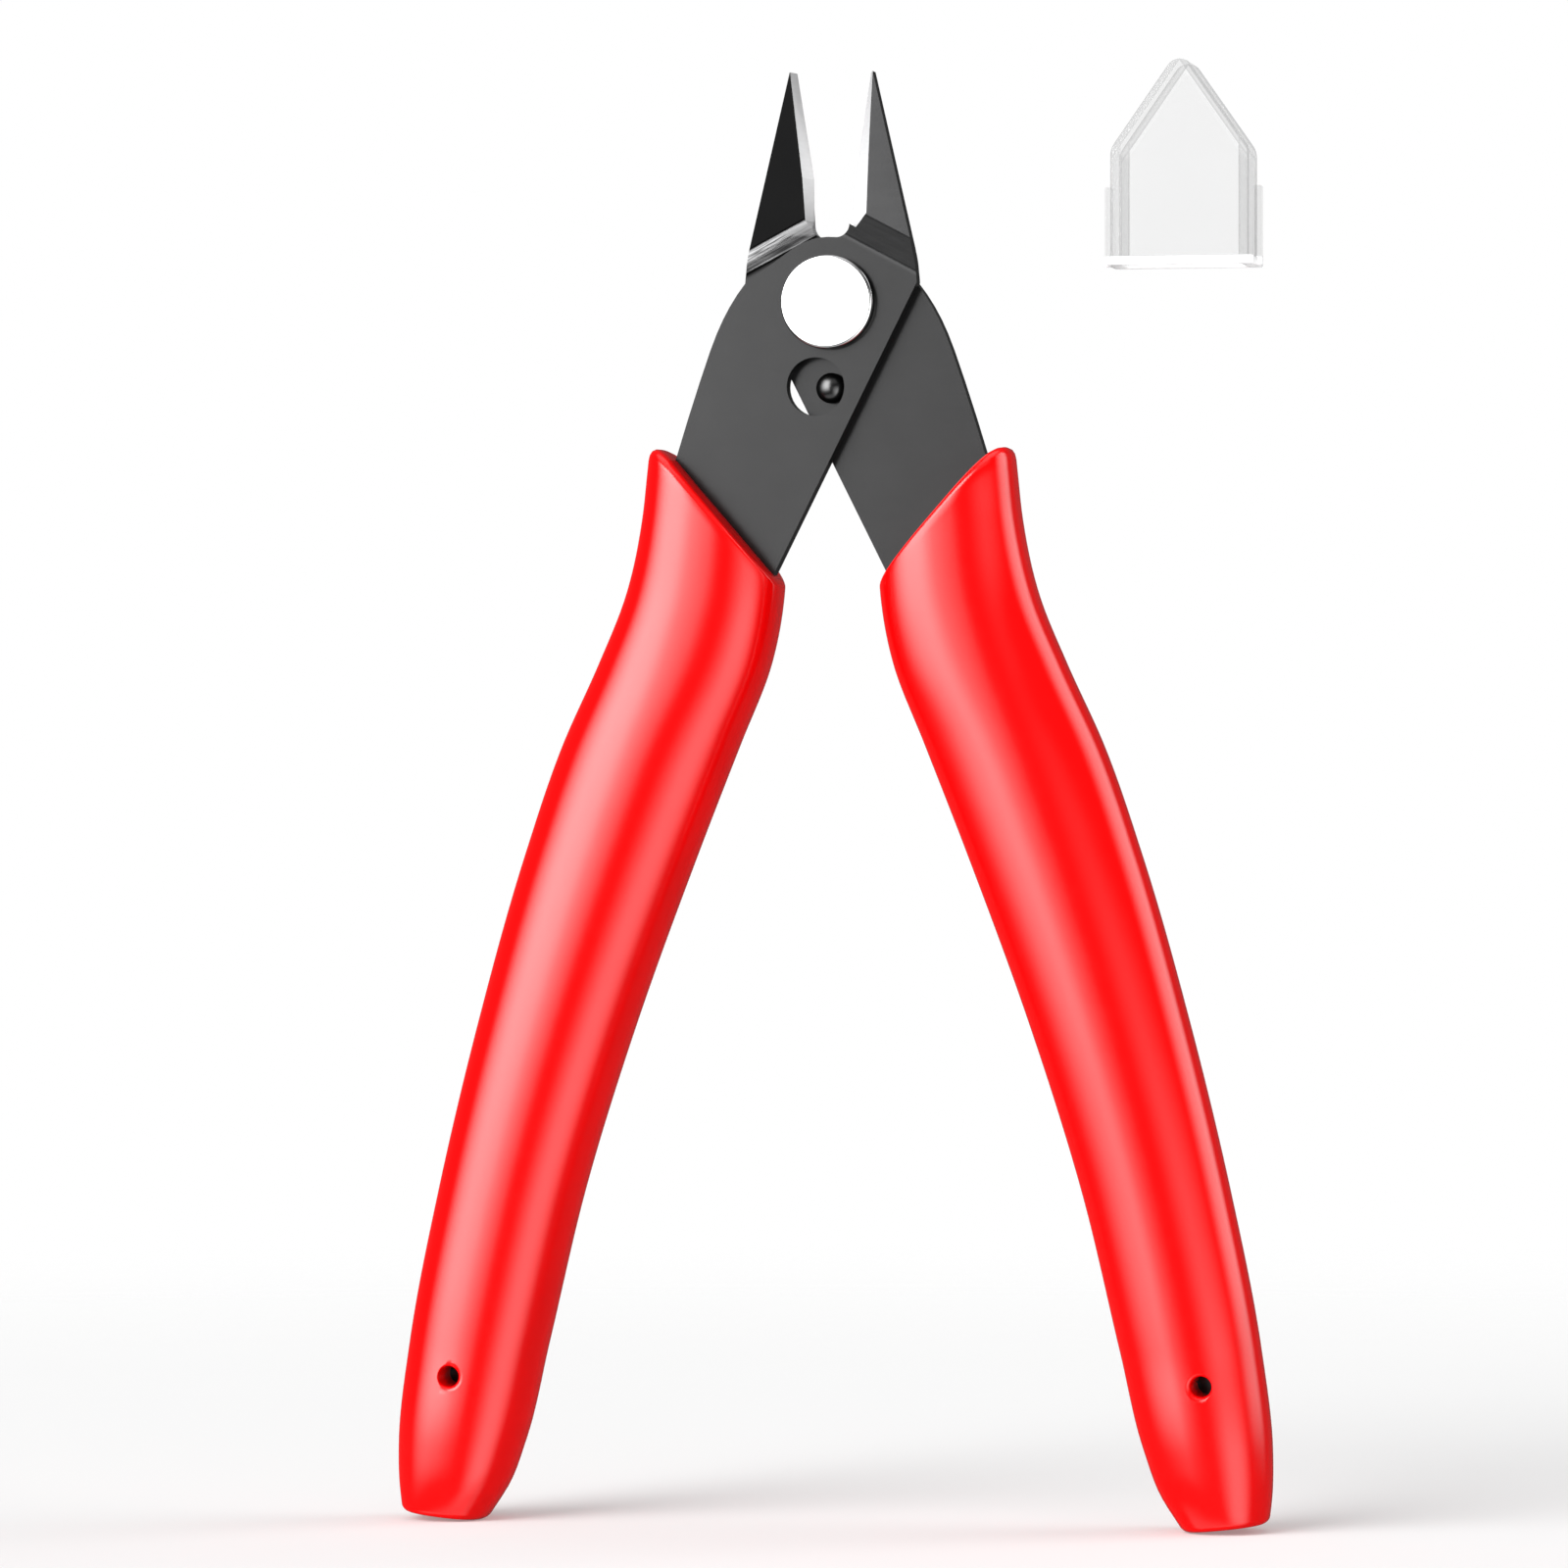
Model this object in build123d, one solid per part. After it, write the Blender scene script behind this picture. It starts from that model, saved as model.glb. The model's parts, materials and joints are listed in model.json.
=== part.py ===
from build123d import *
import math
import os

os.makedirs("parts", exist_ok=True)

# Diagonal cutting pliers standing on the ends of their grips, jaws up.
# X runs across the handles, Y runs from front to back, Z is up from the floor.
# The half whose handle goes to the left carries the right jaw and lies in front.

overall_height = 130.0
pivot_height = 109.3
plate_thickness = 1.7
lap_gap = 0.06
half_opening = 9.22

# Head and jaws, measured from the pivot.
head_radius = 5.85
tip_rise = overall_height - pivot_height
tip_inset = tip_rise * math.tan(math.radians(half_opening))
tip_width = 0.42
edge_base_rise = 11.2
throat_base = (1.8, 7.6)
throat_fillet = 1.1

# Ground bevels: rise above the pivot, then how far out they reach behind and in front.
tip_run = 0.5
tip_edge = (tip_rise + tip_run) * math.tan(math.radians(half_opening))
left_bevel = [
    (6.0, 0.9, 1.75),
    (7.4, 1.75, 2.3),
    (edge_base_rise, 1.8, 2.62),
    (tip_rise + tip_run, tip_edge, tip_edge + 0.43),
]
right_bevel = [
    (6.0, 0.2, 1.3),
    (8.0, 1.5, 3.25),
    (tip_rise + tip_run, tip_edge, tip_edge + 0.44),
]
tip_thinning = 0.3
jaw_side = (7.48, 4.6)
jaw_turn = (7.86, 3.0)
notch = (7.6, 1.8)

# The joggle that brings each jaw to the middle depth runs across the neck.
joggle_slant = 28.0
joggle_round = 0.6
outer_step = (6.1, 8.4)
inner_step = (6.15, 7.7)

# The one straight inner edge each plate has from its jaw down to its tang.
crotch_rise = 1.7
crotch_drop = 14.25
inner_edge_slant = 26.6
tang_top = 24.8

# Outer edge of the neck of the left handle, upwards to the notch below the jaw.
handle_side = (-13.9, -13.7)
neck_side = [(-11.3, -5.6), (-9.63, -1.4)]

# Pivot rivet and its rear disc.
shank_radius = 2.6
bore_clearance = 0.04
rivet_head_radius = 4.2
rivet_head_height = 1.2
rivet_head_clearance = 0.02
rivet_edge_round = 0.25
tail_radius = 1.9
spring_recess_inner = 2.95
spring_recess_outer = 4.25
spring_recess_depth = 0.42

# Spring wire lying in the recess between the plates.
wire_radius = 0.25
coil_radius = 3.6
coil_start = 300.0
coil_sweep = 300.0
leg_length = 1.0
leg_radius = 0.27
leg_hole_radius = 0.33

# Stop pin and the round hole it works in.
stop_reach = 7.6
stop_pin_radius = 1.36
stop_pin_top = 1.35
stop_pin_round = 0.75
stop_pin_foot_radius = 0.9
stop_hole_radius = 2.62
stop_swing = 9.15

# Grips: stations of height, inner edge, outer edge, half thickness.
grip_stations = [
    (-2.0, 33.0, 38.6, 4.6),
    (0.6, 31.3, 39.15, 4.85),
    (3.0, 29.75, 39.45, 5.1),
    (7.0, 28.2, 39.52, 5.3),
    (16.0, 25.98, 38.52, 5.4),
    (30.0, 22.58, 35.78, 5.5),
    (45.0, 17.82, 32.13, 5.6),
    (60.0, 12.25, 27.82, 5.6),
    (70.0, 8.31, 24.29, 5.55),
    (77.0, 5.6, 21.05, 5.45),
    (83.0, 4.46, 18.55, 5.35),
    (90.0, 4.4, 16.95, 5.2),
    (94.0, 4.5, 16.5, 5.05),
    (97.7, 5.0, 15.5, 4.6),
]
grip_squareness = 2.4
grip_section_points = 16
grip_mouth_outer = (15.0, 96.8)
grip_mouth_inner = (4.46, 84.3)
grip_foot_slant = 6.5
grip_wall_gap = 0.03
grip_hole_position = (33.9, 13.2)
grip_hole_radius = 1.0

# Steel tang inside each grip: height, inner edge, outer edge.
tang_stations = [
    (70.0, 11.6, 20.8),
    (50.0, 19.4, 27.2),
    (30.0, 25.9, 32.5),
]
tang_end = (10.0, 30.1, 36.3)

# Clear guard that slips over the closed jaws.
guard_centre = 31.75
guard_bottom = 112.2
guard_half_width = 6.2
guard_shoulder = 122.5
guard_roof_angle = 35.0
guard_apex_round = 1.3
guard_shoulder_round = 2.0
guard_wall = 0.9
guard_panel = 0.5
guard_inner_round = 0.4
guard_depth = 5.4
guard_fin_height = 7.1
guard_fin_reach = 0.85
guard_fin_thickness = 1.0
guard_lip_height = 0.75
guard_lip_reach = 0.48


def at_pivot(x, rise):
    return (x, pivot_height + rise)


def tangent_point(corner, radius):
    # Touching point on the head circle of a line drawn from an outside corner.
    reach = math.hypot(corner[0], corner[1])
    turn = math.atan2(corner[1], corner[0]) + math.acos(radius / reach)
    return (radius * math.cos(turn), radius * math.sin(turn))


def half_outline():
    # Flat shape of the front half: right jaw, round head, left handle with its tang.
    slope = math.tan(math.radians(inner_edge_slant))
    edge_slope = math.tan(math.radians(half_opening))
    tip_inner = (tip_inset, tip_rise)
    tip_outer = (tip_inset + tip_width, tip_rise)
    edge_base = (edge_base_rise * edge_slope, edge_base_rise)
    fillet_reach = head_radius + throat_fillet
    fillet_x = throat_base[0] - throat_fillet
    fillet_z = math.sqrt(fillet_reach ** 2 - fillet_x ** 2)
    fillet_on_head = (fillet_x * head_radius / fillet_reach, fillet_z * head_radius / fillet_reach)
    fillet_on_jaw = (throat_base[0], fillet_z)
    fillet_angle = math.atan2(fillet_on_head[1] - fillet_z, fillet_on_head[0] - fillet_x) / 2
    fillet_mid = (
        fillet_x + throat_fillet * math.cos(fillet_angle),
        fillet_z + throat_fillet * math.sin(fillet_angle),
    )
    touch = tangent_point(notch, head_radius)
    touch = (-touch[0], touch[1])
    crotch_top = ((crotch_rise + crotch_drop) * slope, crotch_rise)
    tang_inner_top = (-(tang_top - crotch_drop) * slope, -tang_top)

    def tang_point(station, side):
        return (-station[side], station[0] - pivot_height)

    inner_run = [tang_inner_top]
    outer_run = [handle_side]
    for station in tang_stations:
        inner_run.append(tang_point(station, 1))
        outer_run.append(tang_point(station, 2))
    inner_run.append(tang_point(tang_end, 1))
    outer_run.append(tang_point(tang_end, 2))
    end_mid = ((inner_run[-1][0] + outer_run[-1][0]) / 2 - 0.6, inner_run[-1][1] - 2.8)
    outer_run.reverse()

    shoulder = [handle_side, *neck_side, (-notch[0], notch[1])]

    edges = [
        Line(tip_inner, tip_outer),
        Line(tip_outer, jaw_side),
        ThreePointArc(jaw_side, jaw_turn, crotch_top),
        Line(crotch_top, tang_inner_top),
        Spline(*inner_run, tangents=[(-slope, -1), (-0.18, -1)]),
        ThreePointArc(inner_run[-1], end_mid, outer_run[0]),
        Spline(*outer_run, tangents=[(0.2, 1), (0.3, 1)]),
        Spline(*shoulder, tangents=[(0.3, 1), (0.8, 1)]),
        Line((-notch[0], notch[1]), touch),
        ThreePointArc(touch, (0, head_radius), fillet_on_head),
        ThreePointArc(fillet_on_head, fillet_mid, fillet_on_jaw),
        Line(fillet_on_jaw, throat_base),
        Line(throat_base, edge_base),
        Line(edge_base, tip_inner),
    ]
    flat = make_face(edges)
    return Plane((0, 0, pivot_height), x_dir=(1, 0, 0), z_dir=(0, -1, 0)) * flat


def joggled(outline, profile, side):
    # Keep the part of a thick slab that lies inside the stepped side profile.
    slant = math.radians(joggle_slant)
    rise = (side * math.sin(slant), 0, math.cos(slant))
    band = (side * math.cos(slant), 0, -math.sin(slant))
    frame = Plane((0, 0, pivot_height), x_dir=rise, z_dir=band)
    depth_sign = -side
    points = [(n, depth_sign * y) for n, y in profile]
    section = make_face(Polyline(*points, close=True))
    bends = section.vertices().filter_by(lambda v: 5.5 < v.X < 9)
    section = fillet(bends, joggle_round)
    profile_bar = extrude(frame * section, 60, both=True)
    slab = extrude(outline, 6, both=True)
    return slab & profile_bar


def bevel_cutter(side, levels):
    # Wedge that grinds the inner face back from the cutting edge down into the throat.
    rear = plate_thickness / 2
    spread = 0.5
    sections = []
    for rise, reach_behind, reach_in_front in levels:
        lean = (reach_in_front - reach_behind) / plate_thickness
        outline = [
            (side * (reach_behind - spread * lean), rear + spread),
            (side * (reach_in_front + spread * lean), -rear - spread),
            (side * (reach_behind - 5), -rear - spread),
            (side * (reach_behind - 5), rear + spread),
        ]
        level = Plane((0, 0, pivot_height + rise))
        sections.append(level * make_face(Polyline(*outline, close=True)))
    return loft(sections, ruled=True)


front_profile = [
    (-130, -plate_thickness),
    (outer_step[0], -plate_thickness),
    (outer_step[1], -plate_thickness / 2),
    (23, -plate_thickness / 2 + tip_thinning),
    (23, plate_thickness / 2),
    (inner_step[1], plate_thickness / 2),
    (inner_step[0], -lap_gap / 2),
    (-130, -lap_gap / 2),
]
rear_profile = [
    (-130, plate_thickness),
    (outer_step[0], plate_thickness),
    (outer_step[1], plate_thickness / 2),
    (23, plate_thickness / 2),
    (23, -plate_thickness / 2 + tip_thinning),
    (inner_step[1], -plate_thickness / 2),
    (inner_step[0], lap_gap / 2),
    (-130, lap_gap / 2),
]

pivot_axis = Plane((0, 0, pivot_height), x_dir=(1, 0, 0), z_dir=(0, -1, 0))


def disc(radius, front, back, x=0.0, rise=0.0):
    # Round solid between two depths on an axis running front to back.
    middle = (front + back) / 2
    bar = Cylinder(radius, abs(back - front))
    return Pos(x, middle, pivot_height + rise) * Rot(90, 0, 0) * bar


def spring_recess(front, back):
    return disc(spring_recess_outer, front, back) - disc(spring_recess_inner, front, back)


def coil_point(angle, radius=coil_radius):
    turn = math.radians(angle)
    return (radius * math.cos(turn), radius * math.sin(turn))


flat_half = half_outline()
stop_angle = math.radians(-90 - stop_swing)
stop_hole_centre = (stop_reach * math.cos(stop_angle), stop_reach * math.sin(stop_angle))
wire_front_end = coil_point(coil_start)
wire_rear_end = coil_point(coil_start + coil_sweep)

front_half = joggled(flat_half, front_profile, 1)
front_half -= bevel_cutter(1, right_bevel)
front_half -= disc(shank_radius + bore_clearance, -3, 3)
front_half -= spring_recess(-spring_recess_depth, 1)
front_half -= disc(leg_hole_radius, -1.35, 0, wire_front_end[0], wire_front_end[1])
front_half -= disc(stop_hole_radius, -3, 1, stop_hole_centre[0], stop_hole_centre[1])

rear_half = joggled(Rot(0, 0, 180) * flat_half, rear_profile, -1)
rear_half -= bevel_cutter(-1, left_bevel)
rear_half -= disc(shank_radius, -3, 3)
rear_half -= spring_recess(-1, spring_recess_depth)
rear_half -= disc(leg_hole_radius, 0, 1.35, wire_rear_end[0], wire_rear_end[1])
rear_half -= disc(stop_pin_foot_radius, -1, 3, 0, -stop_reach)

# Rivet: polished front head, shank through both plates, thinner tail for the rear disc.
head_rear = -plate_thickness - rivet_head_clearance
head_front = head_rear - rivet_head_height
rivet_head = disc(rivet_head_radius, head_front, head_rear)
rivet_head = fillet(rivet_head.edges().group_by(Axis.Y)[0], rivet_edge_round)
shank = disc(shank_radius, head_rear, plate_thickness)
tail = disc(tail_radius, plate_thickness, plate_thickness + rivet_head_height - 0.1)
pivot_rivet = rivet_head + shank + tail

rear_disc = disc(rivet_head_radius, plate_thickness, plate_thickness + rivet_head_height)
rear_disc = fillet(rear_disc.edges().group_by(Axis.Y)[-1], rivet_edge_round)
rear_disc -= disc(tail_radius, plate_thickness - 0.5, plate_thickness + 3)

# Stop pin: foot pressed through the rear plate, body and domed head in the hole.
pin_body = disc(stop_pin_radius, -stop_pin_top, lap_gap / 2, 0, -stop_reach)
pin_body = fillet(pin_body.edges().group_by(Axis.Y)[0], stop_pin_round)
pin_foot = disc(stop_pin_foot_radius, lap_gap / 2, plate_thickness, 0, -stop_reach)
stop_pin = pin_body + pin_foot

# Spring: open ring of wire with one leg turned into each plate.
wire_section = Pos(coil_radius, 0, pivot_height) * Circle(wire_radius)
ring_axis = Axis((0, 0, pivot_height), (0, -1, 0))
ring = revolve(wire_section, ring_axis, coil_sweep)
ring = ring.rotate(ring_axis, coil_start)
front_leg = disc(leg_radius, -leg_length, leg_radius, wire_front_end[0], wire_front_end[1])
rear_leg = disc(leg_radius, -leg_radius, leg_length, wire_rear_end[0], wire_rear_end[1])
return_spring = ring + front_leg + rear_leg


def superellipse(width, thickness):
    # Rounded section between an ellipse and a rectangle.
    count = grip_section_points
    points = []
    for index in range(count):
        turn = 2 * math.pi * index / count
        c = math.cos(turn)
        s = math.sin(turn)
        x = math.copysign(abs(c) ** (2 / grip_squareness), c) * width / 2
        y = math.copysign(abs(s) ** (2 / grip_squareness), s) * thickness
        points.append((x, y))
    return make_face(Spline(*points, periodic=True))


def grip(side, depth, tang_half):
    sections = []
    for height, inner, outer, half in grip_stations:
        middle = side * (inner + outer) / 2
        sections.append(Pos(middle, depth, height) * superellipse(outer - inner, half))
    body = loft(sections)
    mouth_run = grip_mouth_outer[0] - grip_mouth_inner[0]
    mouth_rise = grip_mouth_outer[1] - grip_mouth_inner[1]
    mouth_angle = math.degrees(math.atan2(mouth_rise, mouth_run))
    mouth = Plane(
        (side * grip_mouth_inner[0], 0, grip_mouth_inner[1]),
        x_dir=(side * math.cos(math.radians(mouth_angle)), 0, math.sin(math.radians(mouth_angle))),
        z_dir=(-side * math.sin(math.radians(mouth_angle)), 0, math.cos(math.radians(mouth_angle))),
    )
    body -= mouth * Pos(5, 0, 20) * Box(60, 40, 40)
    foot = Plane((side * 31.55, 0, 0), z_dir=(side * math.sin(math.radians(grip_foot_slant)), 0, -1))
    body -= foot * Pos(0, 0, 10) * Box(60, 40, 20)
    tang_slab = extrude(tang_half, 6, both=True)
    lap_face = depth - math.copysign(plate_thickness / 2 - lap_gap / 2, depth)
    outer_face = depth + math.copysign(plate_thickness / 2, depth)
    slot_depth = abs(outer_face - lap_face) + 2 * grip_wall_gap
    slot_middle = (outer_face + lap_face) / 2
    tang_slab &= Pos(0, slot_middle, 60) * Box(200, slot_depth, 300)
    body -= tang_slab
    hole = Pos(side * grip_hole_position[0], depth, grip_hole_position[1]) * Rot(90, 0, 0)
    body -= hole * Cylinder(grip_hole_radius, 20)
    return body


left_grip = grip(-1, -plate_thickness / 2, flat_half)
right_grip = grip(1, plate_thickness / 2, Rot(0, 0, 180) * flat_half)


def guard_outline(half_width, shoulder, bottom, apex_round, shoulder_round):
    roof = half_width / math.tan(math.radians(guard_roof_angle))
    corners = [
        (-half_width, bottom),
        (half_width, bottom),
        (half_width, shoulder),
        (0, shoulder + roof),
        (-half_width, shoulder),
    ]
    face = make_face(Polyline(*corners, close=True))
    apex = face.vertices().sort_by(Axis.Y)[-1]
    face = fillet(apex, apex_round)
    shoulders = face.vertices().filter_by(lambda v: abs(v.Y - shoulder) < 0.01)
    face = fillet(shoulders, shoulder_round)
    return Plane((guard_centre, 0, 0), x_dir=(1, 0, 0), z_dir=(0, -1, 0)) * face


guard_outer = guard_outline(
    guard_half_width,
    guard_shoulder,
    guard_bottom,
    guard_apex_round,
    guard_shoulder_round,
)
slant_wall = guard_wall * math.tan(math.radians((90 - guard_roof_angle) / 2))
guard_inner = guard_outline(
    guard_half_width - guard_wall,
    guard_shoulder - slant_wall,
    guard_bottom - 5,
    guard_inner_round,
    guard_shoulder_round - guard_wall,
)
tip_guard = extrude(guard_outer, guard_depth / 2, both=True)
lip_width = 2 * (guard_half_width + guard_lip_reach)
lip = Box(lip_width, guard_depth + 2 * guard_lip_reach, guard_lip_height)
tip_guard += Pos(guard_centre, 0, guard_bottom + guard_lip_height / 2) * lip
fin = Box(2 * (guard_half_width + guard_fin_reach), guard_fin_thickness, guard_fin_height)
tip_guard += Pos(guard_centre, 0, guard_bottom + guard_fin_height / 2) * fin
tip_guard -= extrude(guard_inner, guard_depth / 2 - guard_panel, both=True)

nodes = {
    "front_half": front_half,
    "rear_half": rear_half,
    "pivot_rivet": pivot_rivet,
    "rear_disc": rear_disc,
    "stop_pin": stop_pin,
    "return_spring": return_spring,
    "left_grip": left_grip,
    "right_grip": right_grip,
    "tip_guard": tip_guard,
}

for name, solid in nodes.items():
    export_step(solid, f"parts/{name}.step")
    box = solid.bounding_box()
    print(name, len(solid.solids()), [round(v, 2) for v in (*box.min, *box.max)])
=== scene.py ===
import json
import math
import bmesh
import bpy
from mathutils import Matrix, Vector


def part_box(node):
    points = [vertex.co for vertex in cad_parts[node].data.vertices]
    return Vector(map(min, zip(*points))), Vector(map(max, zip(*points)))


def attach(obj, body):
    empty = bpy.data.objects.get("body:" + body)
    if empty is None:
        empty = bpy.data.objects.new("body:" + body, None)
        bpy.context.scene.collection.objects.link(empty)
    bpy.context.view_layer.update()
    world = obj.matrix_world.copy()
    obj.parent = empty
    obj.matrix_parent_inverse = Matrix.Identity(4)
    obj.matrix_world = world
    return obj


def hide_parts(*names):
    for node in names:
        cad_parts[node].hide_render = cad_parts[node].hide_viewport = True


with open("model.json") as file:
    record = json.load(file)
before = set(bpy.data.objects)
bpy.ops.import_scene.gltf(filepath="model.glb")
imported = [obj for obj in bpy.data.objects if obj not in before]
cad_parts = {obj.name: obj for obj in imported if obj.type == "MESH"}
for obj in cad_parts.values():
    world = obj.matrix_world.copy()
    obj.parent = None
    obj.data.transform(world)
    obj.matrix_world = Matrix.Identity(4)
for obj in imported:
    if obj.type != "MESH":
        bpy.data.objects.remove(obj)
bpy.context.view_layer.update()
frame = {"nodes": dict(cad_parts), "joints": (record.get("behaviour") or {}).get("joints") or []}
scene = bpy.context.scene
mm = 0.001


class Wire:
    # a socket that takes part in sums, each sum adding its Math node
    def __init__(self, tree, socket):
        self.tree = tree
        self.socket = socket

    def maths(self, operation, first, second=None):
        values = {0: first}
        if second is not None:
            values[1] = second
        return self.tree.node("ShaderNodeMath", {"operation": operation}, values)

    def __add__(self, other):
        return self.maths("ADD", self, other)

    def __radd__(self, other):
        return self.maths("ADD", other, self)

    def __sub__(self, other):
        return self.maths("SUBTRACT", self, other)

    def __rsub__(self, other):
        return self.maths("SUBTRACT", other, self)

    def __mul__(self, other):
        return self.maths("MULTIPLY", self, other)

    def __rmul__(self, other):
        return self.maths("MULTIPLY", other, self)

    def __truediv__(self, other):
        return self.maths("DIVIDE", self, other)

    def __neg__(self):
        return self.maths("MULTIPLY", self, -1.0)

    def absolute(self):
        return self.maths("ABSOLUTE", self)

    def rise(self, low, high):
        # 0 below low, 1 above high, eased between
        settings = {"interpolation_type": "SMOOTHSTEP"}
        return self.tree.node("ShaderNodeMapRange", settings, {0: self, 1: low, 2: high})

    def toward(self, target, part):
        # this value where part is 0, the target where part is 1
        return self + (target - self) * part

    def about(self, middle, spread):
        # noise from 0 to 1 laid evenly about a middle value
        return middle + (self - 0.5) * spread


class Tree:
    # the nodes of one material or of the world
    def __init__(self, owner):
        owner.use_nodes = True
        self.nodes = owner.node_tree.nodes
        self.links = owner.node_tree.links
        self.nodes.clear()

    def node(self, kind, settings=None, values=None, out=0):
        made = self.nodes.new(kind)
        for key, value in (settings or {}).items():
            setattr(made, key, value)
        for key, value in (values or {}).items():
            self.feed(made.inputs[key], value)
        return Wire(self, made.outputs[out]) if len(made.outputs) else None

    def feed(self, socket, value):
        if isinstance(value, Wire):
            self.links.new(value.socket, socket)
        else:
            socket.default_value = value

    def mixColour(self, factor, first, second):
        values = {0: factor, 6: first, 7: second}
        return self.node("ShaderNodeMix", {"data_type": "RGBA"}, values, 2)

    def greyColour(self, tone, green=1.0, blue=1.0):
        # a grey from a changing tone, green and blue a hair stronger where asked
        tinted = [tone if part == 1.0 else tone * part for part in (1.0, green, blue)]
        return self.node("ShaderNodeCombineColor", None, dict(enumerate(tinted)))

    def parts(self, vector):
        # the three numbers of a vector
        split = self.node("ShaderNodeSeparateXYZ", None, {0: vector})
        return [Wire(self, output) for output in split.socket.node.outputs]

    def place(self):
        return self.node("ShaderNodeTexCoord", out=3)

    def lean(self):
        # the way the surface faces, in the piece's own axes
        return self.parts(self.node("ShaderNodeTexCoord", out=1))

    def stretched(self, vector, scale):
        settings = {"operation": "MULTIPLY"}
        return self.node("ShaderNodeVectorMath", settings, {0: vector, 1: scale})

    def noise(self, vector, scale, detail=3.0, roughness=0.55):
        values = {"Vector": vector, "Scale": scale, "Detail": detail, "Roughness": roughness}
        return self.node("ShaderNodeTexNoise", None, values)

    def bump(self, height, strength, distance):
        values = {"Height": height, "Strength": strength, "Distance": distance}
        return self.node("ShaderNodeBump", None, values)

    def finish(self, shader):
        self.node("ShaderNodeOutputMaterial", None, {"Surface": shader})

    def surface(self, colour, rough, relief, more):
        values = {"Base Color": colour, "Roughness": rough, "Normal": relief, **more}
        self.finish(self.node("ShaderNodeBsdfPrincipled", None, values))


def newMaterial(name):
    material = bpy.data.materials.new(name)
    return material, Tree(material)


def grey(value):
    return (value, value, value, 1.0)


steelLook = {
    "blackened": 0.0235,
    "blackenedMetal": 0.70,
    "blackenedRough": 0.21,
    # painted shade: the plates' side walls are near black for the shade that falls on them
    "paintedShadeWall": 0.006,
    "jaw": {1: 0.050, -1: 0.0044},  # the right jaw and the left one; painted light and shade, the right face lighter and the left darker for the light each catches
    "ground": {1: 0.80, -1: 0.40},  # the bevels ground beside the cutting edges, bright ground steel; the right one is painted lighter than the left for the light it catches
    "groundMetal": 0.40,
    "groundRough": 0.30,
    "bandShadeTone": 0.052,  # painted shade: the joggle below the right jaw, darker on its sloped face
    "bandSpread": 1.4,
    "bandPaintedShine": 0.50,  # painted reflection: the overhanging one below the left jaw, streaked bright
    "shineRange": (0.15, 1.85),
    "shineFade": (0.30, 0.66),
    "neckSlant": 28.0,
    # mm above the pivot, counted along the neck and straight up
    "bandStart": (5.6, 6.0),
    "bandEnd": (8.0, 8.6),
    "grindStart": (5.9, 6.3),
    # how far a face has to lean one way to count as that face
    "flatLean": (0.90, 0.98),
    "wallLean": (0.30, 0.55),
    "grindLean": (0.16, 0.26),
    "underLean": (0.12, 0.30),
    "frontLean": (0.30, 0.50),
    "cloudScale": 240.0,
    "cloudSpread": 0.28,
    "grainScale": (260.0, 260.0, 2600.0),
    "grainRough": 0.10,
    "speckScale": 5200.0,
    "speckRough": 0.06,
    "rolledScale": (0.22, 5.0),
    "grindScale": (900.0, 900.0, 3800.0),
    "grindSpread": 0.14,
    "relief": (0.10, 0.00002),
    "pivotHeight": frame["joints"][0]["pos_m"][2],
}


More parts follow.
